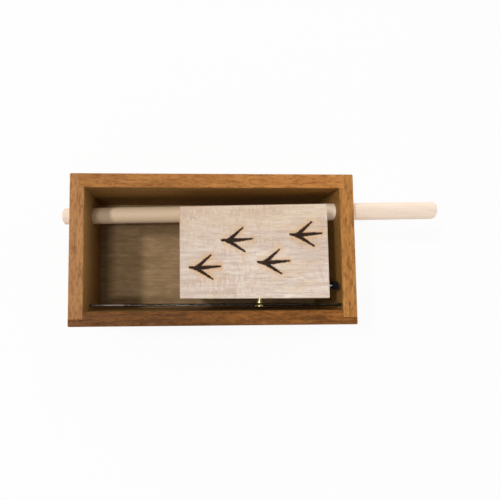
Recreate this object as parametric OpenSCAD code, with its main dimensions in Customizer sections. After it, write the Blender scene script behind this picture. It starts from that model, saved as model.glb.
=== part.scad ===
// Push-rod friction call: an open wooden box, a dowel that slides through its end walls, and a
// striker block on the dowel whose arched underside rubs on the lip of an upright sound bridge.
// Millimetres, +Z up. The origin is the centre of the box's bottom face, X runs along the box,
// and -Y is the front, where the wire rail lies. The dowel rises a little towards +X.

/* [Box] */
// Length of the box, outside
box_l = 127; // [110:0.5:160]
// Width of the box from front to back, outside
box_w = 67.5; // [64:0.1:90]
// Height of the box
box_h = 38; // [36:0.5:60]
// Thickness of the four walls
wall_t = 6.4; // [5:0.1:7]
// Easing on the outer edges of the box
edge_ease = 0.5; // [0.2:0.1:1]
// Easing round the mouth of the box
rim_ease = 0.3; // [0.1:0.1:0.8]

/* [Corner joints] */
// Thickness of the front wall's lip over the end walls
front_lip_t = 3.2; // [2:0.1:4]
// Thickness of the end walls' lip over the back wall
end_lip_t = 4.1; // [2:0.1:4.4]
// Glue line left between glued pieces
glue_gap = 0.05; // [0.02:0.01:0.15]

/* [Sound board] */
// Thickness of the sound board, the floor of the box
board_t = 3.2; // [2:0.1:5]
// Depth of the rabbet in the walls that holds the sound board
board_lap = 3; // [1.5:0.1:3.1]

/* [Sound bridge] */
// Thickness of the upright bridge
bridge_t = 3.2; // [2:0.1:5]
// Length of the bridge from front to back
bridge_l = 20; // [10:0.5:26]
// Space between the front wall and the bridge
bridge_in = 4; // [2:0.5:6]
// Width of the rubbing lip on top of the bridge
lip_w = 1.2; // [0.6:0.1:1.8]
// Depth of the housing in the sound board that the bridge stands in
housing_depth = 1.2; // [0.6:0.1:1.8]

/* [Push rod] */
// Diameter of the dowel
rod_d = 7.94; // [6:0.02:9]
// Length of the dowel
rod_l = 175.4; // [165:0.1:230]
// Depth of the dowel's axis below the rim, halfway along the box
rod_down = 13.7; // [13:0.1:15]
// Angle at which the dowel rises towards its right end
rod_rise = 5; // [0:0.1:5.5]
// Distance from the back wall's inner face to the dowel's axis
rod_in = 9.1; // [7:0.1:12]
// How far the dowel's left end stands out of the box at rest
rod_out = 8.1; // [3:0.1:12]
// Rounding of the dowel's ends
rod_round = 0.9; // [0.3:0.1:2]
// Radial clearance of the dowel in the end walls
rod_clear = 0.08; // [0.03:0.01:0.1]

/* [Striker block] */
// Length of the striker along the dowel
striker_l = 65; // [50:0.1:75]
// Space between the front wall and the top edge of the striker's front face
striker_front_gap = 5.4; // [5:0.05:12]
// Thickness of the striker at its crown
striker_t = 19; // [18.5:0.1:22]
// Height of the striker's top face above the dowel's axis
striker_top = 13; // [11:0.1:13.4]
// Angle by which the striker's front stands up at rest
striker_tilt = 0.6; // [0:0.1:3]
// Space along the dowel between the right end wall and the striker at rest
striker_gap = 6.4; // [6:0.1:9]
// Radius of the arched underside
arch_r = 600; // [400:10:1200]
// Depth of the dowel's axis inside the striker's rear face
cove_in = 0.9; // [0.4:0.1:3]
// Radial clearance between the dowel and its cove in the striker
cove_clear = 0.05; // [0.02:0.01:0.1]
// Easing on the striker's edges
striker_ease = 0.35; // [0.1:0.05:1]
// Space between the striker's crown and the lip of the bridge
lip_clear = 0.2; // [0.1:0.05:0.5]

/* [Wire rail and its screw] */
// Diameter of the rail wire
wire_d = 1.2; // [0.8:0.1:1.4]
// Depth of the blind holes that hold the wire's ends
wire_seat = 4; // [2:0.5:5]
// Distance from the striker's front face to the wire's axis
wire_stand = 3; // [2.8:0.05:3.3]
// Space between the wire and the screw's head above it
wire_drop = 0.3; // [0.2:0.05:0.8]
// Radial clearance of the wire in its holes
wire_clear = 0.05; // [0.02:0.01:0.1]
// Distance from the striker's right end to the screw
screw_in = 29.7; // [10:0.1:45]
// Distance from the striker's top face down to the screw
screw_down = 4.2; // [4.1:0.1:8]
// Diameter of the screw's shank
screw_d = 1.8; // [1.4:0.1:2.4]
// Length of the screw inside the striker
screw_bury = 9; // [5:0.5:12]
// Distance from the striker's front face to the root of the screw's head
head_stand = 2.1; // [2:0.05:2.4]
// Diameter of the screw's countersunk head
head_d = 3.5; // [3.3:0.1:4.4]
// Length of the head's cone
head_cone = 1.1; // [0.8:0.05:1.3]
// Thickness of the head's rim
head_rim = 0.3; // [0.2:0.05:0.4]
// Width of the screwdriver slot
slot_w = 0.6; // [0.4:0.05:0.8]
// Depth of the screwdriver slot
slot_depth = 0.5; // [0.3:0.05:0.6]
// Outer diameter of the washer
washer_d = 3.3; // [3:0.1:3.6]
// Thickness of the washer
washer_t = 0.3; // [0.25:0.05:0.35]
// Distance from the striker's front face to the washer
washer_stand = 1.65; // [0:0.05:1.65]
// Radial clearance of the washer on the shank
washer_clear = 0.05; // [0.03:0.01:0.1]

/* [End bumper] */
// Diameter of the bumper's pin
pin_d = 0.8; // [0.7:0.1:1.5]
// Length of the pin inside the striker
pin_bury = 8; // [5:0.5:12]
// Length of the pin that shows between the striker and the bumper
pin_show = 2.6; // [0.8:0.1:2.8]
// Length of the pin inside the bumper
pin_in_bumper = 1.6; // [1:0.1:1.8]
// Diameter of the rubber bumper
bumper_d = 3.8; // [3:0.1:5]
// Length of the rubber bumper
bumper_t = 2.5; // [2.3:0.1:2.7]
// Rounding of the bumper's edges
bumper_round = 0.5; // [0.2:0.1:0.8]
// Distance from the striker's front face to the pin
bumper_in = 5.45; // [4:0.05:12]
// Distance from the striker's top face down to the pin
bumper_down = 5; // [3:0.1:8]

/* [Hidden] */
$fn = 64;
// Overrun of every cut past the face that it leaves by
over = 1;
// Steps in a rounded corner of a turned piece
ROUND_STEPS = 6;

inner_l = box_l - 2 * wall_t;
inner_w = box_w - 2 * wall_t;
end_x = inner_l / 2;
front_y = -inner_w / 2;
back_y = inner_w / 2;

rod_r = rod_d / 2;
rod_y = back_y - rod_in;
rod_h = box_h - rod_down;
// Places along the dowel, from the middle of the box: its left end, and the right end wall
rod_x = (-box_l / 2 - rod_out) / cos(rod_rise);
rod_end_x = end_x / cos(rod_rise);

striker_x = rod_end_x - striker_gap - striker_l;
// The front face stands square to the tilted top, so its place comes from the top edge's
striker_front = (
    front_y + striker_front_gap - rod_y - striker_top * sin(striker_tilt)
) / cos(striker_tilt);
striker_w = cove_in - striker_front;
crown_z = striker_top - striker_t;

screw_x = striker_l - screw_in;
screw_z = striker_top - screw_down;
wire_y = striker_front - wire_stand;
wire_z = screw_z - head_d / 2 - wire_drop - wire_d / 2;
// Where the wire crosses the middle of the box, along the dowel
wire_mid = (wire_z * cos(striker_tilt) - wire_y * sin(striker_tilt)) * tan(rod_rise);
head_l = head_cone + head_rim;

pin_y = striker_front + bumper_in;
pin_z = striker_top - bumper_down;

bridge_y = front_y + bridge_in;
lip_z = crown_z - lip_clear;

// A rectangle with its four corners cut at 45 degrees
module eased_rect(a, b, ease) {
    polygon([
        [ease, 0], [a - ease, 0], [a, ease], [a, b - ease],
        [a - ease, b], [ease, b], [0, b - ease], [0, ease]
    ]);
}

// A block from the origin to size, with every edge cut at 45 degrees
module eased_block(size, ease) {
    intersection() {
        linear_extrude(size[2]) eased_rect(size[0], size[1], ease);
        rotate([90, 0, 90]) linear_extrude(size[0]) eased_rect(size[1], size[2], ease);
        translate([0, size[1], 0])
            rotate([90, 0, 0]) linear_extrude(size[1]) eased_rect(size[0], size[2], ease);
    }
}

// Points of a quarter round of radius r about a centre, from angle a0
function quarter(centre, r, a0) = [
    for (i = [0:ROUND_STEPS])
        let (a = a0 + 90 * i / ROUND_STEPS) centre + r * [cos(a), sin(a)]
];

// A turned piece along +Z, rounded at both ends
module rounded_bar(r, length, round_r) {
    rotate_extrude()
        polygon(concat(
            [[0, 0]],
            quarter([r - round_r, round_r], round_r, -90),
            quarter([r - round_r, length - round_r], round_r, 0),
            [[0, length]]
        ));
}

// Places a piece in the dowel's own frame: X along it from the middle of the box
module in_rod() {
    translate([0, rod_y, rod_h]) rotate([0, -rod_rise, 0]) children();
}

// Places a piece in the striker's own frame: X from its left end, Y and Z from the dowel's axis
module in_striker() {
    in_rod() translate([striker_x, 0, 0]) rotate([-striker_tilt, 0, 0]) children();
}

// Section of the box's mouth across a span, flared by the easing at the rim
module mouth_section(span) {
    polygon([
        [-span / 2, -over], [span / 2, -over], [span / 2, box_h - rim_ease],
        [span / 2 + rim_ease + over, box_h + over],
        [-span / 2 - rim_ease - over, box_h + over], [-span / 2, box_h - rim_ease]
    ]);
}

// The space inside the four walls, open at the top and at the bottom
module cavity() {
    intersection() {
        translate([0, box_w, 0])
            rotate([90, 0, 0]) linear_extrude(2 * box_w) mouth_section(inner_l);
        translate([-box_l, 0, 0])
            rotate([90, 0, 90]) linear_extrude(2 * box_l) mouth_section(inner_w);
    }
}

// The rabbet round the bottom of the walls that takes the sound board
module board_seat() {
    seat_l = inner_l + 2 * board_lap;
    seat_w = inner_w + 2 * board_lap;
    translate([-seat_l / 2, -seat_w / 2, -over]) cube([seat_l, seat_w, over + board_t + glue_gap]);
}

// All four walls as one ring, before they are parted at the corner joints
module wall_ring() {
    difference() {
        translate([-box_l / 2, -box_w / 2, 0]) eased_block([box_l, box_w, box_h], edge_ease);
        cavity();
        board_seat();
    }
}

// The part of the wall ring that stands over a plan outline
module wall_over(outline) {
    intersection() {
        wall_ring();
        translate([0, 0, -over]) linear_extrude(box_h + 2 * over) polygon(outline);
    }
}

// Front wall: rabbeted at both ends, so that its outer half laps the end walls
module front_wall() {
    outer = -box_w / 2;
    lap = outer + front_lip_t;
    shoulder = end_x - glue_gap;
    color("saddlebrown")
        wall_over([
            [-box_l / 2, outer], [box_l / 2, outer], [box_l / 2, lap], [shoulder, lap],
            [shoulder, front_y], [-shoulder, front_y], [-shoulder, lap], [-box_l / 2, lap]
        ]);
}

// Back wall: let into the end walls at both ends
module back_wall() {
    end = box_l / 2 - end_lip_t - glue_gap;
    color("peru")
        wall_over([[-end, back_y], [end, back_y], [end, box_w / 2], [-end, box_w / 2]]);
}

// An end wall before its holes are drilled, on the left, with a rabbet for the back wall
module end_blank() {
    outer = -box_l / 2;
    front_end = -box_w / 2 + front_lip_t + glue_gap;
    wall_over([
        [outer, front_end], [-end_x, front_end], [-end_x, back_y - glue_gap],
        [outer + end_lip_t, back_y - glue_gap], [outer + end_lip_t, box_w / 2],
        [outer, box_w / 2]
    ]);
}

// Left end wall: the dowel's bore and the wire's blind hole are low in it
module left_end_wall() {
    color("peru")
        difference() {
            end_blank();
            rod_bore();
            wire_holes();
        }
}

// Right end wall: the same blank turned round, with both holes higher, as the dowel rises
module right_end_wall() {
    color("peru")
        difference() {
            mirror([1, 0, 0]) end_blank();
            rod_bore();
            wire_holes();
        }
}

// The dowel's running bore, through both end walls
module rod_bore() {
    in_rod()
        translate([-box_l, 0, 0]) rotate([0, 90, 0]) cylinder(r = rod_r + rod_clear, h = 2 * box_l);
}

// The blind holes in the end walls for the ends of the wire, in one line
module wire_holes() {
    hole_l = inner_l / cos(rod_rise) + 2 * wire_seat;
    on_wire_line(hole_l) cylinder(r = wire_d / 2 + wire_clear, h = hole_l);
}

// Lays a piece of the given length, made along +Z, on the wire's line, halfway between the walls
module on_wire_line(length) {
    in_striker()
        translate([wire_mid - striker_x - length / 2, wire_y, wire_z]) rotate([0, 90, 0]) children();
}

// Sound board: the thin floor of the box, with a housing for the foot of the bridge
module sound_board() {
    board_l = inner_l + 2 * (board_lap - glue_gap);
    board_w = inner_w + 2 * (board_lap - glue_gap);
    housing_w = bridge_t + 2 * glue_gap;
    color("tan")
        difference() {
            translate([-board_l / 2, -board_w / 2, 0]) cube([board_l, board_w, board_t]);
            translate([-housing_w / 2, bridge_y - glue_gap, board_t - housing_depth])
                cube([housing_w, bridge_l + 2 * glue_gap, housing_depth + over]);
        }
}

// Section of the bridge's top: its sides slope in at 45 degrees to the rubbing lip
module lip_section() {
    foot = lip_w / 2 + box_h;
    polygon([[-foot, -box_h], [foot, -box_h], [lip_w / 2, 0], [-lip_w / 2, 0]]);
}

// Sound bridge: stands upright in the sound board, its lip parallel to the striker's underside
module sound_bridge() {
    color("burlywood")
        intersection() {
            translate([-bridge_t / 2, bridge_y, board_t - housing_depth + glue_gap])
                cube([bridge_t, bridge_l, box_h]);
            in_rod()
                rotate([-striker_tilt, 0, 0])
                    translate([lip_z * tan(rod_rise), 0, lip_z])
                        rotate([90, 0, 0]) linear_extrude(2 * box_w, center = true) lip_section();
        }
}

// Rail wire: spring steel, let into both end walls, beside the dowel and just under the screw
module rail_wire() {
    wire_l = inner_l / cos(rod_rise) + 2 * (wire_seat - glue_gap);
    color("slategray") on_wire_line(wire_l) cylinder(d = wire_d, h = wire_l);
}

// Push rod: the dowel that carries the striker and is pushed from either end
module push_rod() {
    color("wheat")
        in_rod() translate([rod_x, 0, 0]) rotate([0, 90, 0]) rounded_bar(rod_r, rod_l, rod_round);
}

// The striker's outer form: eased on its top and its corners, arched along its underside
module striker_form() {
    intersection() {
        translate([0, striker_front, crown_z - striker_ease])
            eased_block([striker_l, striker_w, striker_t + striker_ease], striker_ease);
        translate([striker_l / 2, 0, crown_z + arch_r])
            rotate([90, 0, 0]) cylinder(r = arch_r, h = 2 * striker_w, center = true, $fn = 360);
    }
}

// Striker block, with the dowel's cove in its rear face and pilot holes for screw and pin
module striker_block() {
    color("wheat")
        in_striker()
            difference() {
                striker_form();
                translate([-over, 0, 0])
                    rotate([0, 90, 0]) cylinder(r = rod_r + cove_clear, h = striker_l + 2 * over);
                translate([screw_x, striker_front - over, screw_z])
                    rotate([-90, 0, 0])
                        cylinder(r = screw_d / 2 + glue_gap, h = over + screw_bury + glue_gap);
                translate([striker_l - pin_bury - glue_gap, pin_y, pin_z])
                    rotate([0, 90, 0])
                        cylinder(r = pin_d / 2 + glue_gap, h = pin_bury + glue_gap + over);
            }
}

// Places a turned piece on the screw's axis, with +Z out of the striker's front face
module on_screw_axis() {
    in_striker() translate([screw_x, striker_front, screw_z]) rotate([90, 0, 0]) children();
}

// Rail screw: countersunk head with a slot, standing off the striker so that it hangs over the wire
module rail_screw() {
    tip = screw_d / 2;
    color("darkkhaki")
        on_screw_axis()
            difference() {
                union() {
                    translate([0, 0, -screw_bury]) cylinder(r1 = 0, r2 = screw_d / 2, h = tip);
                    translate([0, 0, tip - screw_bury])
                        cylinder(d = screw_d, h = screw_bury - tip + head_stand);
                    translate([0, 0, head_stand]) cylinder(d1 = screw_d, d2 = head_d, h = head_cone);
                    translate([0, 0, head_stand + head_cone]) cylinder(d = head_d, h = head_rim);
                }
                translate([-head_d, -slot_w / 2, head_stand + head_l - slot_depth])
                    cube([2 * head_d, slot_w, slot_depth + over]);
            }
}

// Washer: rides on the screw's shank, between the striker and the head
module screw_washer() {
    color("khaki")
        on_screw_axis()
            translate([0, 0, washer_stand])
                difference() {
                    cylinder(d = washer_d, h = washer_t);
                    translate([0, 0, -over])
                        cylinder(r = screw_d / 2 + washer_clear, h = washer_t + 2 * over);
                }
}

// Places a turned piece on the bumper pin's axis, with +Z out of the striker's right end
module on_pin_axis() {
    in_striker() translate([striker_l, pin_y, pin_z]) rotate([0, 90, 0]) children();
}

// Bumper pin: steel, driven into the striker's right end
module bumper_pin() {
    color("silver")
        on_pin_axis()
            translate([0, 0, -pin_bury]) cylinder(d = pin_d, h = pin_bury + pin_show + pin_in_bumper);
}

// Rubber bumper: pushed on the pin, hushes the striker against the right end wall
module rubber_bumper() {
    color("dimgray")
        on_pin_axis()
            translate([0, 0, pin_show])
                difference() {
                    rounded_bar(bumper_d / 2, bumper_t, bumper_round);
                    translate([0, 0, -over])
                        cylinder(r = pin_d / 2 + glue_gap, h = over + pin_in_bumper + glue_gap);
                }
}

back_wall();
front_wall();
left_end_wall();
right_end_wall();
sound_board();
sound_bridge();
rail_wire();
push_rod();
striker_block();
rail_screw();
screw_washer();
bumper_pin();
rubber_bumper();
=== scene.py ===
# %% [markdown]
# # A wooden push-rod bird call
# This lesson dresses a small wooden bird call in Blender. The call is an open mahogany box. A birch
# dowel slides through its end walls and carries a maple striker, which rubs on a thin sound bridge
# inside. The solids come ready made as a fixed frame, so the work here is the finish of every surface:
# how a board's grain runs on through its faces and its end, and how brass, spring steel and rubber
# differ.

# %% Load the frame
import math

import bpy
from mathutils import Matrix, Vector


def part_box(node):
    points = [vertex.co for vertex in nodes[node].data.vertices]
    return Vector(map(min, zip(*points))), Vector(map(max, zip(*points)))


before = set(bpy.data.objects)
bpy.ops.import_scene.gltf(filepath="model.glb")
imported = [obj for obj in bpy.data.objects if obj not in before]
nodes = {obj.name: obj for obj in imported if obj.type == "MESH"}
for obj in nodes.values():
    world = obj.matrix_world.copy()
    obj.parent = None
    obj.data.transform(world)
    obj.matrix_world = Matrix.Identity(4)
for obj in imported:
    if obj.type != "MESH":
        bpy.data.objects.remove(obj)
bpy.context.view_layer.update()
print("pieces in the frame:", sorted(nodes))

# %% [markdown]
# ## Small helpers
# Colours are given as sRGB hex, the way a paint chart gives them, while a shader wants linear
# light, so one function turns the one into the other. A node's input is either a plain value or a
# link, and feed tells them apart. With add, one line makes a shader node with its settings and its
# inputs, so that each finish below reads as a short recipe. Dress puts a finish on its piece.

# %% Colour, node and dressing helpers
MM = 0.001


def linear(hex_code):
    """An sRGB hex colour as the linear RGBA that a colour socket holds."""
    channels = [int(hex_code[i:i + 2], 16) / 255 for i in (1, 3, 5)]
    return [c / 12.92 if c <= 0.04045 else ((c + 0.055) / 1.055) ** 2.4 for c in channels] + [1.0]


def feed(tree, made, inputs):
    """Gives a node its inputs. Each is a value, or another node's output, which is then linked."""
    for key, value in inputs.items():
        if isinstance(value, bpy.types.NodeSocket):
            tree.links.new(value, made.inputs[key])
        else:
            made.inputs[key].default_value = value


def add(tree, kind, inputs, **settings):
    """Adds one node with its settings and its inputs."""
    made = tree.nodes.new("ShaderNode" + kind)
    for name, value in settings.items():
        setattr(made, name, value)
    feed(tree, made, inputs)
    return made


def dress(piece, material):
    """Puts a finish on a piece."""
    nodes[piece].material_slots[0].material = material
    print(piece, "is dressed in", material.name)


print("mid grey in linear light:", [round(c, 3) for c in linear("#808080")])

# %% [markdown]
# ## The camera
# The photograph looks down into the box from only 16 cm above its rim, a little left of its middle and
# to the front, so that the inner faces of the back wall and of both end walls show. The picture was
# then cut out round the call, which leaves the lens off its centre, and a lens shift does the same
# here. A camera can be aimed with a constraint, but its axes are built here from the point that
# it stands on, the point that it looks at and a small roll, which keeps the view exact.

# %% Camera
PHOTO_PX = 500
FOCAL_PX = 368.9
LENS_CENTRE_PX = (194.1, 265.5)
SENSOR_MM = 36
# Nothing nearer to the lens than this is drawn
NEAREST = 10 * MM
CAMERA_AT = Vector((-14.70, -17.75, 199.45)) * MM
LOOKS_AT = Vector((-8.84, -7.43, 38.0)) * MM
ROLL = math.radians(-0.35)


def camera_axes(stands, target, roll):
    """Rotation matrix of a camera whose picture has +Y up, turned by roll."""
    ahead = (target - stands).normalized()
    right = ahead.cross(Vector((0, 1, 0))).normalized()
    right.rotate(Matrix.Rotation(-roll, 3, ahead))
    up = right.cross(ahead)
    return Matrix((right, up, -ahead)).transposed()


camera_data = bpy.data.cameras.new("photo_camera")
camera_data.sensor_width = SENSOR_MM
camera_data.lens = FOCAL_PX / PHOTO_PX * SENSOR_MM
camera_data.shift_x = 0.5 - LENS_CENTRE_PX[0] / PHOTO_PX
camera_data.shift_y = LENS_CENTRE_PX[1] / PHOTO_PX - 0.5
camera_data.clip_start = NEAREST
camera = bpy.data.objects.new("photo_camera", camera_data)
camera.matrix_world = (
    Matrix.Translation(CAMERA_AT) @ camera_axes(CAMERA_AT, LOOKS_AT, ROLL).to_4x4()
)
bpy.context.collection.objects.link(camera)
bpy.context.scene.camera = camera
print("lens in mm:", round(camera_data.lens, 1))

# %% [markdown]
# ## Wood as a solid pattern
# A plank is cut from a tree, so its grain is a pattern in space and not a picture glued on each face.
# A photograph of veneer would show the same lines on the end as on the side. Every wood here is drawn
# in three dimensions instead, in millimetres, with its first axis along the fibres. The same streaks
# that run along a face then turn into dots and rings on the end grain by themselves.

# %% Grain frame
ALONG_X = 0.0
ALONG_Y = math.pi / 2
NO_SHIFT = (0, 0, 0)


def grain_frame(tree, turn, shift):
    """Object coordinates in mm, turned about Z so that the first axis runs along the fibres."""
    place = add(tree, "TexCoord", {}).outputs["Object"]
    in_mm = add(tree, "Mapping", {"Vector": place, "Scale": (1 / MM, 1 / MM, 1 / MM)})
    turned = add(tree, "Mapping", {
        "Vector": in_mm.outputs[0], "Rotation": (0, 0, turn), "Location": shift,
    })
    return turned.outputs[0]


def whereabouts(tree, turn):
    """X along the fibres, Y across them and Z up, in mm, to tell one part of a piece from another."""
    return add(tree, "SeparateXYZ", {0: grain_frame(tree, turn, NO_SHIFT)}).outputs


print("grain runs along X at", ALONG_X, "and along Y at", round(ALONG_Y, 3), "radians")

# %% [markdown]
# ## Drift
# No plank is ruler straight, because a trunk isn't. Its grain drifts sideways by a millimetre or two
# over a hand's width. Every pattern could be given a drift of its own, but then fibres would cross the
# bands. So the place itself is shifted once, by a slow noise, and each pattern is drawn in that space.

# %% Grain drift
def stretched(tree, place, along, across):
    """Space in which a cell of along by across by across mm is one unit each way."""
    return add(tree, "VectorMath", {0: place, 1: (1 / along, 1 / across, 1 / across)},
               operation="MULTIPLY").outputs[0]


def wander(tree, place, along, across, reach):
    """Lets the grain drift sideways by up to reach mm, as a tree's own growth does."""
    cells = stretched(tree, place, along, across)
    drift = add(tree, "TexNoise", {"Vector": cells, "Scale": 1.0, "Detail": 2.0})
    centred = add(tree, "VectorMath", {0: drift.outputs["Color"], 1: (0.5, 0.5, 0.5)},
                  operation="SUBTRACT")
    sideways = add(tree, "VectorMath", {0: centred.outputs[0], 1: (0, 2 * reach, 2 * reach)},
                   operation="MULTIPLY")
    return add(tree, "VectorMath", {0: place, 1: sideways.outputs[0]}).outputs[0]


print("grain drift ready")

# %% [markdown]
# ## Streaks and dashes
# A board's bands and fibres show as streaks and its open pores as short dashes. A wave texture could
# draw the bands, but it repeats like wallpaper. Noise makes the streaks instead and scattered spots make
# the dashes, both in cells that are longer along the fibres than across them. The cells' two sizes are
# given in millimetres of real wood.

# %% Grain patterns
# The share of a dash's width that has its full strength
DASH_CORE = 0.45


def streaks(tree, place, along, across, detail=3.0):
    """Noise from 0 to 1 in cells of along by across mm, drawn out along the fibres."""
    return add(tree, "TexNoise", {
        "Vector": stretched(tree, place, along, across), "Scale": 1.0, "Detail": detail,
        "Roughness": 0.55}).outputs["Fac"]


def dashes(tree, place, along, across, width, share):
    """Scattered dashes along the fibres, from 0 to 1. Share is the share of cells that have one."""
    cells = stretched(tree, place, along, across)
    spots = add(tree, "TexVoronoi", {"Vector": cells, "Scale": 1.0})
    near = add(tree, "MapRange", {"Value": spots.outputs["Distance"], "From Min": width,
                                  "From Max": width * DASH_CORE})
    pick = add(tree, "SeparateColor", {"Color": spots.outputs["Color"]})
    kept = add(tree, "Math", {0: pick.outputs["Red"], 1: share}, operation="LESS_THAN")
    return add(tree, "Math", {0: near.outputs[0], 1: kept.outputs[0]},
               operation="MULTIPLY").outputs[0]


print("streaks and dashes ready")

# %% [markdown]
# ## Layers of colour and one surface
# A wood's colour builds up in layers, as it does under a finisher's hand: the ground colour first, then
# the growth bands, the fibres and the pores, each where its own pattern is strong. A cut end drinks
# more dust and oil than a long face, so it is darker. It needs no mask by hand, because a face cuts the
# fibres square where its normal runs along them. The surface then takes the colour, a roughness that
# follows one of the patterns, and a relief that is true to size.

# %% Layer and surface helpers
# The values that noise seldom leaves, over which a surface's roughness is spread
WEAR_LOW = 0.3
WEAR_HIGH = 0.7
# Half strength, because fibres and pores have rounded edges
RELIEF_STRENGTH = 0.5


def layer(tree, colour, over, pattern, low=0.0, high=1.0, most=1.0):
    """Lays one colour over another where a pattern climbs from low to high, up to a share of most."""
    share = add(tree, "MapRange", {"Value": pattern, "From Min": low, "From Max": high,
                                   "To Max": most})
    # A Mix node has sockets for numbers, vectors and colours: inputs 6 and 7 and output 2 are colours
    return add(tree, "Mix", {0: share.outputs[0], 6: colour, 7: over}, data_type="RGBA").outputs[2]


def end_grain(tree, colour, over, turn, most):
    """Lays a colour over the faces that cut the fibres square, up to a share of most."""
    facing = add(tree, "TexCoord", {}).outputs["Normal"]
    fibre = (math.cos(turn), -math.sin(turn), 0.0)
    dot = add(tree, "VectorMath", {0: facing, 1: fibre}, operation="DOT_PRODUCT")
    square = add(tree, "Math", {0: dot.outputs["Value"]}, operation="ABSOLUTE").outputs[0]
    return layer(tree, colour, over, square, low=0.6, high=0.9, most=most)


def surface(name, tree_of, rough, relief_mm, **fixed):
    """A material from a function that gives its colour, its wear pattern and its height pattern."""
    material = bpy.data.materials.new(name)
    material.use_nodes = True
    tree = material.node_tree
    colour, wear, height = tree_of(tree)
    roughness = add(tree, "MapRange", {"Value": wear, "From Min": WEAR_LOW, "From Max": WEAR_HIGH,
                                       "To Min": rough[0], "To Max": rough[1]})
    bump = add(tree, "Bump", {"Height": height, "Strength": RELIEF_STRENGTH,
                              "Distance": relief_mm * MM})
    feed(tree, tree.nodes["Principled BSDF"], {
        "Base Color": colour, "Roughness": roughness.outputs[0], "Normal": bump.outputs[0],
        **{key.replace("_", " "): value for key, value in fixed.items()},
    })
    return material


print("layer and surface helpers ready")

# %% [markdown]
# ## Painted shade on the box's inner faces
# The walls' inner faces are painted darker and greyer, as painted shade of the deep, narrow well.
# Each wall is one solid with one slot. Its inner face could get a slot of its own, but the solids stay
# as they came, so a mask by place does it: a spot is inside if it lies within the well and below the
# rim.

# %% Inner faces
RIM_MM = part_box("right_end_wall")[1][2] / MM
WELL_HALF_MM = (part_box("right_end_wall")[0][0] / MM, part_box("back_wall")[0][1] / MM)
# The painted shade starts a little below the rim, so the rim's eased edge keeps the board's colour
EASED_MM = 0.35
# The inner faces are the well's own sides, so it is taken a little wider to hold them
FACE_MM = 0.1


def well_shade_mask(tree):
    """1 on the walls' inner faces, within the well and below the rim, where shade is painted, 0
    elsewhere.
    """
    spot = whereabouts(tree, ALONG_X)
    inside = add(tree, "Math", {0: spot["Z"], 1: RIM_MM - EASED_MM},
                 operation="LESS_THAN").outputs[0]
    for axis, half in zip("XY", WELL_HALF_MM):
        off_centre = add(tree, "Math", {0: spot[axis]}, operation="ABSOLUTE").outputs[0]
        within = add(tree, "Math", {0: off_centre, 1: half + FACE_MM},
                     operation="LESS_THAN").outputs[0]
        inside = add(tree, "Math", {0: inside, 1: within}, operation="MULTIPLY").outputs[0]
    return inside


print("well half sizes in mm:", [round(half, 2) for half in WELL_HALF_MM])

# %% [markdown]
# ## Mahogany
# The walls are mahogany, planed, sanded and thinly oiled. It is an orange brown wood with soft growth
# bands a few millimetres apart, a ribbon of light and dark that comes and goes, and open pores that
# show as short dark dashes. The oil gives the eye a low satin gloss that the pores break up. The grain
# could be one material for the whole box, but four boards from one plank still differ, so each wall
# gets its own cut of the pattern, and its light level drifts from one end of the board to the other.
# The front one is from a darker plank whose bands wander more.

# %% Mahogany finish
WOOD_IOR = 1.45
# The darker, greyer colour that the inner faces are painted with, as shade of the well
WELL_SHADE_COLOUR = "#876a38"
# The ribbon's strength as a share of the bands'
RIBBON_SHARE = 0.7


def mahogany(name, pale, deep, pore, turn, shift, drift_mm, figure, tone_mm, tone):
    """Oiled mahogany with its fibres along X or, turned, along Y. Figure is the bands' strength.

    Its light level goes from tone[0] to tone[1] times between the places tone_mm along the fibres.
    """
    def layers(tree):
        place = wander(tree, grain_frame(tree, turn, shift), along=30.0, across=9.0, reach=drift_mm)
        # Real fibres are 0.03 mm wide and real pores 0.2 mm, so both are drawn coarser to show at all
        fibres = streaks(tree, place, along=3.2, across=0.26)
        pores = dashes(tree, place, along=2.6, across=0.62, width=0.42, share=0.6)
        bands = streaks(tree, place, along=60.0, across=2.2)
        ribbon = streaks(tree, place, along=16.0, across=4.5, detail=1.0)
        pale_flecks = streaks(tree, place, along=7.0, across=1.5, detail=1.5)
        dark_flecks = streaks(tree, place, along=4.4, across=1.1, detail=2.0)
        colour = layer(tree, linear(pale), linear(deep), bands, low=0.38, high=0.66, most=figure)
        colour = layer(tree, colour, linear(deep), ribbon, low=0.4, high=0.68,
                       most=figure * RIBBON_SHARE)
        colour = layer(tree, colour, linear(pale), pale_flecks, low=0.5, high=0.66, most=0.7)
        colour = layer(tree, colour, linear(pore), dark_flecks, low=0.47, high=0.7, most=0.48)
        colour = layer(tree, colour, linear(pore), fibres, low=0.48, high=0.8, most=0.45)
        colour = layer(tree, colour, linear(pore), pores, most=0.4)
        level = add(tree, "MapRange", {
            "Value": whereabouts(tree, turn)["X"], "From Min": tone_mm[0], "From Max": tone_mm[1],
            "To Min": tone[0], "To Max": tone[1]}).outputs[0]
        colour = add(tree, "HueSaturation", {"Color": colour, "Value": level}).outputs[0]
        colour = end_grain(tree, colour, linear(pore), turn, most=0.3)
        # Painted shade: the well's inner faces take the darker, greyer colour
        colour = layer(tree, colour, linear(WELL_SHADE_COLOUR), well_shade_mask(tree), most=0.7)
        height = add(tree, "Math", {0: fibres, 1: pores}, operation="SUBTRACT").outputs[0]
        return colour, pores, height

    return surface(name, layers, rough=(0.45, 0.72), relief_mm=0.1,
                   IOR=WOOD_IOR, Specular_IOR_Level=0.12)


# The colour printed here is the painted shade of the inner faces
print("mahogany ready, with bare inner faces in", WELL_SHADE_COLOUR)

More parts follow.
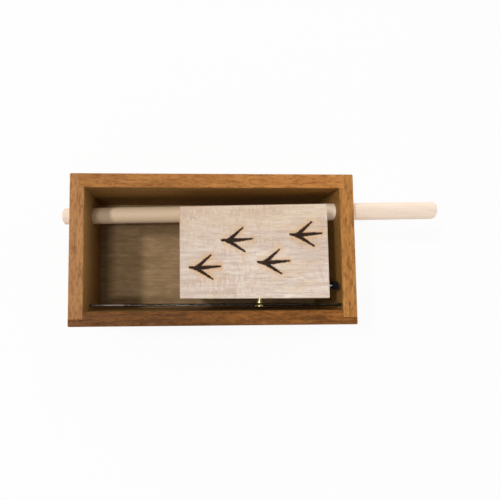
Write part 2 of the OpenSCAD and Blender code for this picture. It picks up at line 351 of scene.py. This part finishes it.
# %% Four mahogany boards
dress("back_wall", mahogany(
    "oiled_mahogany_back_board", pale="#c48648", deep="#9f6330", pore="#653a17", turn=ALONG_X,
    shift=(31, 4, 9), drift_mm=1.4, figure=0.6, tone_mm=(-30, 40), tone=(0.89, 1.16)))
dress("left_end_wall", mahogany(
    "oiled_mahogany_left_board", pale="#ba8552", deep="#9a663c", pore="#653b1d", turn=ALONG_Y,
    shift=(7, 52, 3), drift_mm=1.4, figure=0.6, tone_mm=(-25, 30), tone=(1.06, 0.94)))
dress("right_end_wall", mahogany(
    "oiled_mahogany_right_board", pale="#cf924f", deep="#ab6f38", pore="#603515", turn=ALONG_Y,
    shift=(83, 21, 6), drift_mm=1.4, figure=0.6, tone_mm=(-30, 30), tone=(0.94, 0.96)))
dress("front_wall", mahogany(
    "oiled_mahogany_front_board", pale="#8e5a2a", deep="#643d1b", pore="#3a2411", turn=ALONG_X,
    shift=(12, 71, 2), drift_mm=3.6, figure=0.9, tone_mm=(-8, 30), tone=(0.86, 1.4)))

# %% [markdown]
# ## The burnt mark
# The top of the striker is marked with a hot tool, which leaves a dark brown line with a toasted
# yellow rim. The mark here is a walk of bird tracks. It could be cut into the mesh, but a mark this
# shallow is mostly colour, so it is drawn by distance. Each toe is a tapered stroke, the distance to
# the nearest one is found in millimetres, and the burn, its toasted rim and its slight depth all
# follow.

# %% Tapered stroke
def stroke(tree, place, start, end, width_start, width_end):
    """Distance in mm from a tapered stroke, below 0 inside it."""
    run = end - start
    from_start = add(tree, "VectorMath", {0: place, 1: start}, operation="SUBTRACT").outputs[0]
    reach = add(tree, "VectorMath", {0: from_start, 1: run / run.length_squared},
                operation="DOT_PRODUCT")
    share = add(tree, "Clamp", {"Value": reach.outputs["Value"]}).outputs[0]
    foot = add(tree, "VectorMath", {0: run, "Scale": share}, operation="SCALE").outputs[0]
    gap = add(tree, "VectorMath", {0: from_start, 1: foot}, operation="DISTANCE").outputs["Value"]
    half = add(tree, "Math", {0: share, 1: width_end - width_start, 2: width_start},
               operation="MULTIPLY_ADD")
    return add(tree, "Math", {0: gap, 1: half.outputs[0]}, operation="SUBTRACT").outputs[0]


print("tapered stroke ready")

# %% [markdown]
# ## A walk of tracks
# A walking bird sets its left and right foot in turn, a step apart and each a little to its own side.
# Four tracks could be drawn one by one, but they are all alike. So one track is drawn, and the space
# that it is drawn in is folded: each step of the walk is moved onto the first.

# %% Walk
# All in mm: the way between two tracks, how far left and right feet stand apart, and the walk's middle
STEP = 15.0
STRADDLE = 11.0
WALK_CENTRE = Vector((18.4, -1.2, 0.0))
WALK_TURN = math.radians(-4)
TRACKS = 4


def walk_frame(tree, place):
    """Folds the striker's top into one step of the walk, left and right feet in turn."""
    flat = add(tree, "Mapping", {"Vector": place, "Location": -WALK_CENTRE})
    turned = add(tree, "Mapping", {"Vector": flat.outputs[0], "Rotation": (0, 0, WALK_TURN)})
    parts = add(tree, "SeparateXYZ", {0: turned.outputs[0]}).outputs
    step = add(tree, "Math", {0: parts["X"], 1: STEP}, operation="DIVIDE").outputs[0]
    index = add(tree, "Math", {0: step}, operation="FLOOR").outputs[0]
    middle = add(tree, "Math", {0: index, 1: STEP, 2: STEP / 2},
                 operation="MULTIPLY_ADD").outputs[0]
    along = add(tree, "Math", {0: parts["X"], 1: middle}, operation="SUBTRACT").outputs[0]
    foot = add(tree, "Math", {0: index, 1: 2.0}, operation="FLOORED_MODULO").outputs[0]
    side = add(tree, "Math", {0: foot, 1: STRADDLE, 2: -STRADDLE / 2}, operation="MULTIPLY_ADD")
    across = add(tree, "Math", {0: parts["Y"], 1: side.outputs[0]}, operation="SUBTRACT").outputs[0]
    far = add(tree, "Math", {0: parts["X"]}, operation="ABSOLUTE").outputs[0]
    beyond = add(tree, "Math", {0: far, 1: STEP * TRACKS / 2}, operation="GREATER_THAN").outputs[0]
    return add(tree, "CombineXYZ", {"X": along, "Y": across}).outputs[0], beyond


print("walk length in mm:", STEP * TRACKS)

# %% [markdown]
# ## One bird track
# A ground bird's foot prints three toes in front and a short one behind, all from one heel. A track
# could be one drawn outline, but toes from a table are easier to change: each is a length, an angle and
# two widths, and the nearest toe at any spot wins.

# %% Bird track
HEEL = Vector((-4.2, 0.0, 0.0))
# Length, angle in degrees, half width at the heel and at the claw of each toe, in mm
TOES = [(10.6, 0, 1.15, 0.4), (8.6, 38, 1.0, 0.36), (8.6, -38, 1.0, 0.36), (3.6, 168, 0.95, 0.35)]


def track_distance(tree, place):
    """Distance in mm from the nearest bird track."""
    step_place, beyond = walk_frame(tree, place)
    toes = []
    for length, angle, width_heel, width_claw in TOES:
        turn = math.radians(angle)
        claw = HEEL + length * Vector((math.cos(turn), math.sin(turn), 0.0))
        toes.append(stroke(tree, step_place, HEEL, claw, width_heel, width_claw))
    nearest = toes[0]
    for toe in toes[1:]:
        nearest = add(tree, "Math", {0: nearest, 1: toe}, operation="MINIMUM").outputs[0]
    return add(tree, "Math", {0: beyond, 1: STEP, 2: nearest},
               operation="MULTIPLY_ADD").outputs[0]


print("tracks:", TRACKS, "of", len(TOES), "toes")

# %% [markdown]
# ## Burn and toast
# A hot tool chars the wood under it, leaves the line's edge ragged where fibres catch, and toasts the
# wood for some way round in patches. The three could be masks of their own, but one distance gives
# them all: the char lies below 0 mm, a little noise frays that edge, and the toast fades with the way
# from it. Only faces that look up are burnt.

# %% Burn and toast
# A face counts as the striker's top if its normal rises at least this far
STRIKER_TOP_NORMAL = 0.9
# In mm from a stroke's edge: where the burn starts and is full, how ragged it is, how far toast goes
BURN_START = 0.2
BURN_FULL = -0.15
RAGGED = 1.1
TOAST_REACH = 3.6


def burnt_tracks(tree, place):
    """How burnt and how toasted a spot on the striker's top is, each from 0 to 1."""
    facing = add(tree, "SeparateXYZ", {0: add(tree, "TexCoord", {}).outputs["Normal"]})
    top = add(tree, "Math", {0: facing.outputs["Z"], 1: STRIKER_TOP_NORMAL},
              operation="GREATER_THAN").outputs[0]
    ragged = add(tree, "Math", {0: streaks(tree, place, along=0.9, across=0.35), 1: RAGGED,
                                2: -RAGGED / 2}, operation="MULTIPLY_ADD").outputs[0]
    distance = add(tree, "Math", {
        0: track_distance(tree, grain_frame(tree, ALONG_X, NO_SHIFT)), 1: ragged}).outputs[0]
    edge = add(tree, "MapRange", {"Value": distance, "From Min": BURN_START, "From Max": BURN_FULL})
    burn = add(tree, "Math", {0: edge.outputs[0], 1: top}, operation="MULTIPLY").outputs[0]
    near = add(tree, "MapRange", {"Value": distance, "From Min": TOAST_REACH, "From Max": 0.0})
    patchy = add(tree, "Math", {0: near.outputs[0], 1: streaks(tree, place, along=9.0, across=5.0)},
                 operation="MULTIPLY").outputs[0]
    toast = add(tree, "Math", {0: patchy, 1: top}, operation="MULTIPLY").outputs[0]
    return burn, toast


print("toast reaches", TOAST_REACH, "mm from a stroke")

# %% [markdown]
# ## Grain beside a knot
# The striker's back left part lay beside a knot, where the tree's growth lines bend, here towards the
# back. More drift would bend them too, but anywhere. A knot does it in one place, so the offset is
# worked out from the place: nothing in front and to the right, and more and more with the square of the
# way to the left.

# %% Knot bend
# The growth lines bend left of BEND_FROM, in mm along the striker, by BEND mm for each mm squared
BEND_FROM = 22.0
BEND = 0.0045
# In mm across the striker: where the bend sets in and where it is full
BEND_FRONT = 2.0
BEND_BACK = 14.0


def bend(tree, place):
    """Bends the grain of the striker's back left part towards the back, as beside a knot."""
    spot = whereabouts(tree, ALONG_X)
    past = add(tree, "Math", {0: BEND_FROM, 1: spot["X"]}, operation="SUBTRACT").outputs[0]
    past = add(tree, "Math", {0: past, 1: 0.0}, operation="MAXIMUM").outputs[0]
    rise = add(tree, "Math", {0: past, 1: past}, operation="MULTIPLY").outputs[0]
    share = add(tree, "MapRange", {"Value": spot["Y"], "From Min": BEND_FRONT, "From Max": BEND_BACK,
                                   "To Max": BEND}).outputs[0]
    offset = add(tree, "Math", {0: rise, 1: share}, operation="MULTIPLY").outputs[0]
    offset = add(tree, "CombineXYZ", {"Y": offset}).outputs[0]
    return add(tree, "VectorMath", {0: place, 1: offset}, operation="SUBTRACT").outputs[0]


print("bend 30 mm past its start, in mm:", round(BEND * 30 ** 2, 2))

# %% [markdown]
# ## Maple
# The striker is hard maple, sawn and sanded and left bare, because an oiled striker would not squeak.
# It is a pale wood, nearly white with a hint of pink and yellow. It has soft growth lines a millimetre
# or two apart, small tan flecks and faint bars across the grain where the saw met the rays. It darkens
# a little towards its left end and yellows a little towards the back. Bare sanded
# maple is matt, so its roughness is high. All of these are thin layers over one ground colour, which is
# easier to tune than a picture of the wood, and the burnt tracks go on last because they were made
# last.

# %% Maple finish
def maple(tree):
    """Bare sanded maple, with the burnt bird tracks on its top."""
    straight = grain_frame(tree, ALONG_X, (5, 17, 40))
    place = bend(tree, wander(tree, straight, along=30.0, across=12.0, reach=1.6))
    # Maple's fibres are 0.02 mm wide and are drawn ten times as wide, so that they show
    fibres = streaks(tree, place, along=3.0, across=0.2)
    growth = streaks(tree, place, along=60.0, across=1.6)
    clouds = streaks(tree, straight, along=30.0, across=12.0, detail=1.0)
    yellow_mottle = streaks(tree, place, along=12.0, across=3.0, detail=1.0)
    pink_mottle = streaks(tree, straight, along=5.0, across=2.4, detail=1.0)
    thin_lines = streaks(tree, place, along=14.0, across=0.5)
    colour = layer(tree, linear("#f5e8da"), linear("#c9b1a0"), growth, low=0.4, high=0.72, most=0.75)
    colour = layer(tree, colour, linear("#cfb7a5"), clouds, low=0.4, high=0.65, most=0.55)
    colour = layer(tree, colour, linear("#e6cdaa"), yellow_mottle, low=0.5, high=0.7, most=0.5)
    colour = layer(tree, colour, linear("#dcc0b0"), pink_mottle, low=0.52, high=0.7, most=0.45)
    colour = layer(tree, colour, linear("#ab8a76"), thin_lines, low=0.5, high=0.76, most=0.6)
    colour = layer(tree, colour, linear("#b9957c"), fibres, low=0.5, high=0.85, most=0.45)

    # Darker towards the striker's left end
    striker_x = add(tree, "SeparateXYZ", {0: straight}).outputs["X"]
    colour = layer(tree, colour, linear("#c7b2a0"), striker_x, low=40.0, high=-14.0, most=0.45)
    back_side = whereabouts(tree, ALONG_X)["Y"]
    colour = layer(tree, colour, linear("#e0c59c"), back_side, low=2.0, high=19.0, most=0.37)

    rays = streaks(tree, straight, along=0.8, across=3.2, detail=1.0)
    ray_zones = streaks(tree, straight, along=24.0, across=9.0, detail=1.0)
    bars = add(tree, "Math", {0: rays, 1: ray_zones}, operation="MULTIPLY").outputs[0]
    flecks = dashes(tree, place, along=2.4, across=0.5, width=0.26, share=0.3)
    colour = layer(tree, colour, linear("#c39f8e"), bars, low=0.27, high=0.4, most=0.42)
    colour = layer(tree, colour, linear("#b98d69"), flecks, most=0.4)
    colour = end_grain(tree, colour, linear("#b08a68"), ALONG_X, most=0.45)

    burn, toast = burnt_tracks(tree, place)
    char = layer(tree, linear("#1f1209"), linear("#452a1b"), fibres, low=0.4, high=0.75)
    colour = layer(tree, colour, linear("#dcae78"), toast, low=0.15, high=0.6, most=0.7)
    colour = layer(tree, colour, char, burn)
    height = add(tree, "Math", {0: fibres, 1: burn}, operation="SUBTRACT").outputs[0]
    return colour, burn, height


dress("striker_block", surface("sanded_maple", maple, rough=(0.62, 0.8), relief_mm=0.08,
                               IOR=WOOD_IOR, Specular_IOR_Level=0.3))

# %% [markdown]
# ## Birch dowel
# A dowel is turned from straight pale birch, so its fibres run its whole length and its side shows long
# hairlines and a few tan dashes. It is the palest piece of the call. Both ends are cut across
# the fibres and look a little darker. It stays bare and smooth, polished only by sliding in its bores.
# The stretch inside the box is painted a darker, warmer tan as painted shade of the well, most of it
# left of the striker. The painted shade could be a second material on a cut of the dowel, but it fades,
# so it is a layer that follows the place along it.

# %% Birch finish
# In mm along the box, for the painted shade: where it sets in, over what length, where it is deepest,
# where it ends
INBOX_SHADE_START = -61.0
INBOX_SHADE_EDGE = 2.0
INBOX_SHADE_DEEPEST = -14.0
INBOX_SHADE_END = 68.0


def birch(tree):
    """Smooth bare birch with its fibres along X, and painted shade on the stretch inside the box."""
    place = wander(tree, grain_frame(tree, ALONG_X, (3, 9, 27)), along=120.0, across=10.0, reach=0.5)
    lines = streaks(tree, place, along=110.0, across=0.9)
    # Birch's fibres are 0.03 mm wide and are drawn wider, so that they show
    fibres = streaks(tree, place, along=8.0, across=0.2)
    flecks = dashes(tree, place, along=3.6, across=0.8, width=0.2, share=0.25)
    colour = layer(tree, linear("#fce8d4"), linear("#f3ddc8"), lines, low=0.4, high=0.7)
    colour = layer(tree, colour, linear("#e6cdb6"), fibres, low=0.5, high=0.8, most=0.4)
    colour = layer(tree, colour, linear("#c9a27c"), flecks, most=0.3)
    colour = end_grain(tree, colour, linear("#cdb294"), ALONG_X, most=0.4)
    along = whereabouts(tree, ALONG_X)["X"]
    past_start = add(tree, "MapRange", {"Value": along, "From Min": INBOX_SHADE_START - INBOX_SHADE_EDGE,
                                        "From Max": INBOX_SHADE_START}).outputs[0]
    fading = add(tree, "MapRange", {"Value": along, "From Min": INBOX_SHADE_END,
                                    "From Max": INBOX_SHADE_DEEPEST}).outputs[0]
    painted_shade = add(tree, "Math", {0: past_start, 1: fading}, operation="MULTIPLY").outputs[0]
    # Painted shade: the stretch inside the box is tinted a darker, warmer tan
    colour = layer(tree, colour, linear("#dcc09d"), painted_shade, most=0.85)
    return colour, lines, fibres


dress("push_rod", surface("sanded_birch_dowel", birch, rough=(0.5, 0.6), relief_mm=0.05,
                          IOR=WOOD_IOR, Specular_IOR_Level=0.35))

# %% [markdown]
# ## Sound board and bridge
# The floor of the box is a thin board that has to ring, so it is a light wood with straight close
# grain, here a brownish cedar. The bridge that stands in it is butternut. Both are sanded and left
# bare, which looks matt and a little dusty. The growth lines are under a millimetre apart, and run
# along the box in the board and across it in the bridge. Both woods could be one plain colour at this
# size, but the board's lines show beside the dowel, so one recipe draws them for both.

# %% Tone wood finish
def tone_wood(name, pale, deep, turn, shift, line_mm):
    """Bare straight grained wood. The growth lines are line_mm apart."""
    def layers(tree):
        place = wander(tree, grain_frame(tree, turn, shift), along=60.0, across=14.0, reach=0.9)
        lines = streaks(tree, place, along=70.0, across=line_mm)
        # Fibres of these woods are 0.03 mm wide and are drawn wider, so that they show
        fibres = streaks(tree, place, along=4.0, across=0.25)
        clouds = streaks(tree, place, along=7.0, across=2.6, detail=1.0)
        colour = layer(tree, linear(pale), linear(deep), lines, low=0.4, high=0.65, most=0.42)
        colour = layer(tree, colour, linear(deep), fibres, low=0.45, high=0.75, most=0.55)
        colour = layer(tree, colour, linear(deep), clouds, low=0.42, high=0.62, most=0.4)
        colour = end_grain(tree, colour, linear(deep), turn, most=0.7)
        return colour, lines, fibres

    return surface(name, layers, rough=(0.6, 0.72), relief_mm=0.08,
                   IOR=WOOD_IOR, Specular_IOR_Level=0.3)


dress("sound_board", tone_wood("sanded_cedar_sound_board", pale="#b09168", deep="#806340",
                               turn=ALONG_X, shift=(19, 44, 1), line_mm=0.7))
dress("sound_bridge", tone_wood("sanded_butternut_bridge", pale="#b08a60", deep="#8c673f",
                                turn=ALONG_Y, shift=(2, 8, 14), line_mm=0.8))

# %% [markdown]
# ## Brass and bright steel
# The screw and its washer are turned brass that has dulled a little in the hand, so its yellow is olive
# in patches. The pin is a bright drawn steel brad. A metal takes its whole look from its colour, which
# tints what it mirrors, and from its roughness, so it keeps the default IOR. One recipe serves both.
# Turning leaves lines under a tenth of a millimetre apart, which show as a soft, stretched highlight.

# %% Metal finish
def metal(name, bright, dull, rough, line_mm, patch_mm, relief_mm):
    """Bare metal with dull patches. Line_mm is the length and the width of its tool lines."""
    def layers(tree):
        place = grain_frame(tree, ALONG_X, NO_SHIFT)
        patches = streaks(tree, place, patch_mm, patch_mm)
        colour = layer(tree, linear(bright), linear(dull), patches, low=0.4, high=0.65)
        return colour, patches, streaks(tree, place, *line_mm)

    return surface(name, layers, rough, relief_mm, Metallic=1.0)


turned_brass = metal("turned_brass", bright="#cdbf8b", dull="#8f804f", rough=(0.28, 0.45),
                     line_mm=(0.25, 0.06), patch_mm=0.9, relief_mm=0.01)
dress("rail_screw", turned_brass)
dress("screw_washer", turned_brass)
dress("bumper_pin", metal("drawn_bright_steel", bright="#dcdcda", dull="#b5b3b0", rough=(0.3, 0.42),
                          line_mm=(0.2, 0.05), patch_mm=1.2, relief_mm=0.005))

# %% [markdown]
# ## Spring steel wire
# The wire that the screw rides along is drawn spring steel, which leaves the mill a dark brownish grey
# with hairlines along its length. Its left end is painted paler, a painted highlight where the wire
# mirrors the high lamp. That end could be a second piece, but it is one wire, so a mask along the wire
# changes its colour and roughness.

# %% Spring steel finish
# In mm along the box: where the painted highlight on the left end stops, and half the way over which it
# fades
PAINTED_HIGHLIGHT_TO = -41.0
PAINTED_HIGHLIGHT_FADE = 0.4


def spring_wire(tree):
    """Dark drawn steel, with a painted highlight on its left end up to PAINTED_HIGHLIGHT_TO."""
    place = grain_frame(tree, ALONG_X, NO_SHIFT)
    # Drawing leaves hairlines of a few hundredths of a millimetre, which are drawn wider here
    hairlines = streaks(tree, place, along=14.0, across=0.07)
    mottle = streaks(tree, place, along=3.0, across=3.0)
    along = add(tree, "SeparateXYZ", {0: place}).outputs["X"]
    painted_highlight_end = add(tree, "MapRange", {"Value": along, "From Min": PAINTED_HIGHLIGHT_TO + PAINTED_HIGHLIGHT_FADE,
                                    "From Max": PAINTED_HIGHLIGHT_TO - PAINTED_HIGHLIGHT_FADE}).outputs[0]
    colour = layer(tree, linear("#585047"), linear("#3c362f"), mottle, low=0.4, high=0.65)
    # Painted highlight: the left end is paler, where the wire would mirror the high lamp
    colour = layer(tree, colour, linear("#736a61"), painted_highlight_end)
    return colour, painted_highlight_end, hairlines


dress("rail_wire", surface("drawn_spring_steel", spring_wire, rough=(0.2, 0.5), relief_mm=0.002,
                           Metallic=1.0))

# %% [markdown]
# ## Rubber bumper
# The bumper that keeps the striker off the end wall is moulded black rubber. Rubber takes its matt look
# from the mould's blasted surface, a grit of about a twentieth of a millimetre, which is drawn coarser
# here so that it shows. It is nearly black with a little dust, and reflects less than the wood does.
# Plain black would do at this size, but a black without dust or grit looks like a hole.

# %% Rubber finish
def moulded_rubber(tree):
    """Matt black rubber with a fine grit."""
    place = grain_frame(tree, ALONG_X, NO_SHIFT)
    dust = streaks(tree, place, along=1.4, across=1.4)
    grit = streaks(tree, place, along=0.18, across=0.18)
    colour = layer(tree, linear("#050505"), linear("#0c0b0b"), dust, low=0.45, high=0.75)
    return colour, dust, grit


dress("rubber_bumper", surface("moulded_black_rubber", moulded_rubber, rough=(0.6, 0.8),
                               relief_mm=0.03, IOR=1.52, Specular_IOR_Level=0.1))

# %% [markdown]
# ## The floor
# The call lies on white paper under studio light. A lit white floor turns grey when the lamps
# are kept plain, so the floor shows most of its own white straight to the camera and to reflections,
# and keeps enough of a plain paper surface for the object's soft shadow to fall on.

# %% White floor
FLOOR_HALF = 1.5
# The share of the floor's look that is its own white
FLOOR_GLOW = 0.91


def white_paper(name):
    """White paper that keeps a faint shadow and otherwise shows as white."""
    material = bpy.data.materials.new(name)
    material.use_nodes = True
    tree = material.node_tree
    paper = tree.nodes["Principled BSDF"]
    feed(tree, paper, {"Base Color": linear("#f4f4f4"), "Roughness": 0.9, "Specular IOR Level": 0.1})
    path = add(tree, "LightPath", {}).outputs
    seen = add(tree, "Math", {0: path["Is Camera Ray"], 1: path["Is Glossy Ray"]},
               operation="MAXIMUM").outputs[0]
    seen = add(tree, "Math", {0: seen, 1: path["Is Transmission Ray"]},
               operation="MAXIMUM").outputs[0]
    share = add(tree, "Math", {0: seen, 1: FLOOR_GLOW}, operation="MULTIPLY").outputs[0]
    glow = add(tree, "Emission", {"Color": linear("#ffffff"), "Strength": 1.0}).outputs[0]
    mixed = add(tree, "MixShader", {0: share, 1: paper.outputs[0], 2: glow})
    tree.links.new(mixed.outputs[0], tree.nodes["Material Output"].inputs["Surface"])
    return material


floor_mesh = bpy.data.meshes.new("paper_floor")
corners = [(-FLOOR_HALF, -FLOOR_HALF), (FLOOR_HALF, -FLOOR_HALF),
           (FLOOR_HALF, FLOOR_HALF), (-FLOOR_HALF, FLOOR_HALF)]
floor_mesh.from_pydata([(x, y, 0.0) for x, y in corners], [], [(0, 1, 2, 3)])
paper_floor = bpy.data.objects.new("paper_floor", floor_mesh)
floor_mesh.materials.append(white_paper("white_paper"))
bpy.context.collection.objects.link(paper_floor)
print("floor laid, in m:", 2 * FLOOR_HALF, "square")

# %% [markdown]
# ## Two lamps
# The left end wall throws two shadow edges across the dowel and the sound board, so the photograph has
# two lamps on the left. The low one stands at about 55 degrees and a little behind the call, because
# the dowel shades the sound board in front of it. Its edge across the box is sharp and the dowel's
# shade is soft, so it is a level strip. The other is almost overhead and a little in front. Its strip
# runs towards the call, which makes its edge the softer one. One broad softbox would be simpler, but it
# would blur both edges into one.

# %% Lamps
AIM = Vector((0.015, 0.0, 0.03))


def softbox(name, place, width, height, watts):
    """A rectangular lamp at a place, turned to face the call. Sizes are in m."""
    lamp = bpy.data.lights.new(name, "AREA")
    lamp.shape = "RECTANGLE"
    lamp.size = width
    lamp.size_y = height
    lamp.energy = watts
    made = bpy.data.objects.new(name, lamp)
    made.location = place
    made.rotation_euler = (AIM - Vector(place)).to_track_quat("-Z", "Y").to_euler()
    bpy.context.collection.objects.link(made)
    rise = math.degrees(math.asin((made.location - AIM).normalized().z))
    print(name, "stands at", round(rise), "degrees")


softbox("left_lamp_low", place=(-1.02, 0.28, 1.51), width=0.42, height=0.16, watts=12.9)
softbox("left_lamp_high", place=(-0.377, -0.22, 1.85), width=0.16, height=0.40, watts=8.4)

# %% [markdown]
# ## The room
# The rest of the light is a pale room. The gaps round the striker are nearly black, which tells that
# little light falls straight down, where the camera itself is in the way. So the room is brightest near
# the horizon and fades towards the top, and it is brighter behind the call and to its right than in
# front and to the left. An overhead softbox would be simpler, but it would fill those gaps with light.
# The camera sees the room as plain white.

# %% World
# The room's strength in front of and behind the call, and its share of that to the left and right
ROOM_FRONT = 1.05
ROOM_BACK = 1.75
LEFT_SHARE = 0.6
RIGHT_SHARE = 1.5
# Sines of the heights at which the room starts to fade and is down to its overhead share
FADE_FROM = 0.25
FADE_TO = 0.6
OVERHEAD_SHARE = 0.13

world = bpy.data.worlds.new("white_room")
bpy.context.scene.world = world
world.use_nodes = True
room = world.node_tree
room_light = room.nodes["Background"]
room_light.inputs["Color"].default_value = linear("#ffffff")
towards = add(room, "SeparateXYZ", {0: add(room, "TexCoord", {}).outputs["Generated"]}).outputs
from_behind = add(room, "MapRange", {"Value": towards["Y"], "From Min": -1.0, "From Max": 1.0,
                                     "To Min": ROOM_FRONT, "To Max": ROOM_BACK})
from_right = add(room, "MapRange", {"Value": towards["X"], "From Min": -1.0, "From Max": 1.0,
                                    "To Min": LEFT_SHARE, "To Max": RIGHT_SHARE})
overhead = add(room, "MapRange", {"Value": towards["Z"], "From Min": FADE_FROM, "From Max": FADE_TO,
                                  "To Min": 1.0, "To Max": OVERHEAD_SHARE})
room_level = add(room, "Math", {0: from_behind.outputs[0], 1: overhead.outputs[0]},
                 operation="MULTIPLY").outputs[0]
room_level = add(room, "Math", {0: room_level, 1: from_right.outputs[0]},
                 operation="MULTIPLY").outputs[0]
seen_by_camera = add(room, "LightPath", {}).outputs["Is Camera Ray"]
room_strength = add(room, "MapRange", {"Value": seen_by_camera, "To Min": room_level, "To Max": 1.0})
room.links.new(room_strength.outputs[0], room_light.inputs["Strength"])
bpy.context.scene.view_settings.view_transform = "Standard"
print("room strength from front to back:", ROOM_FRONT, "to", ROOM_BACK)
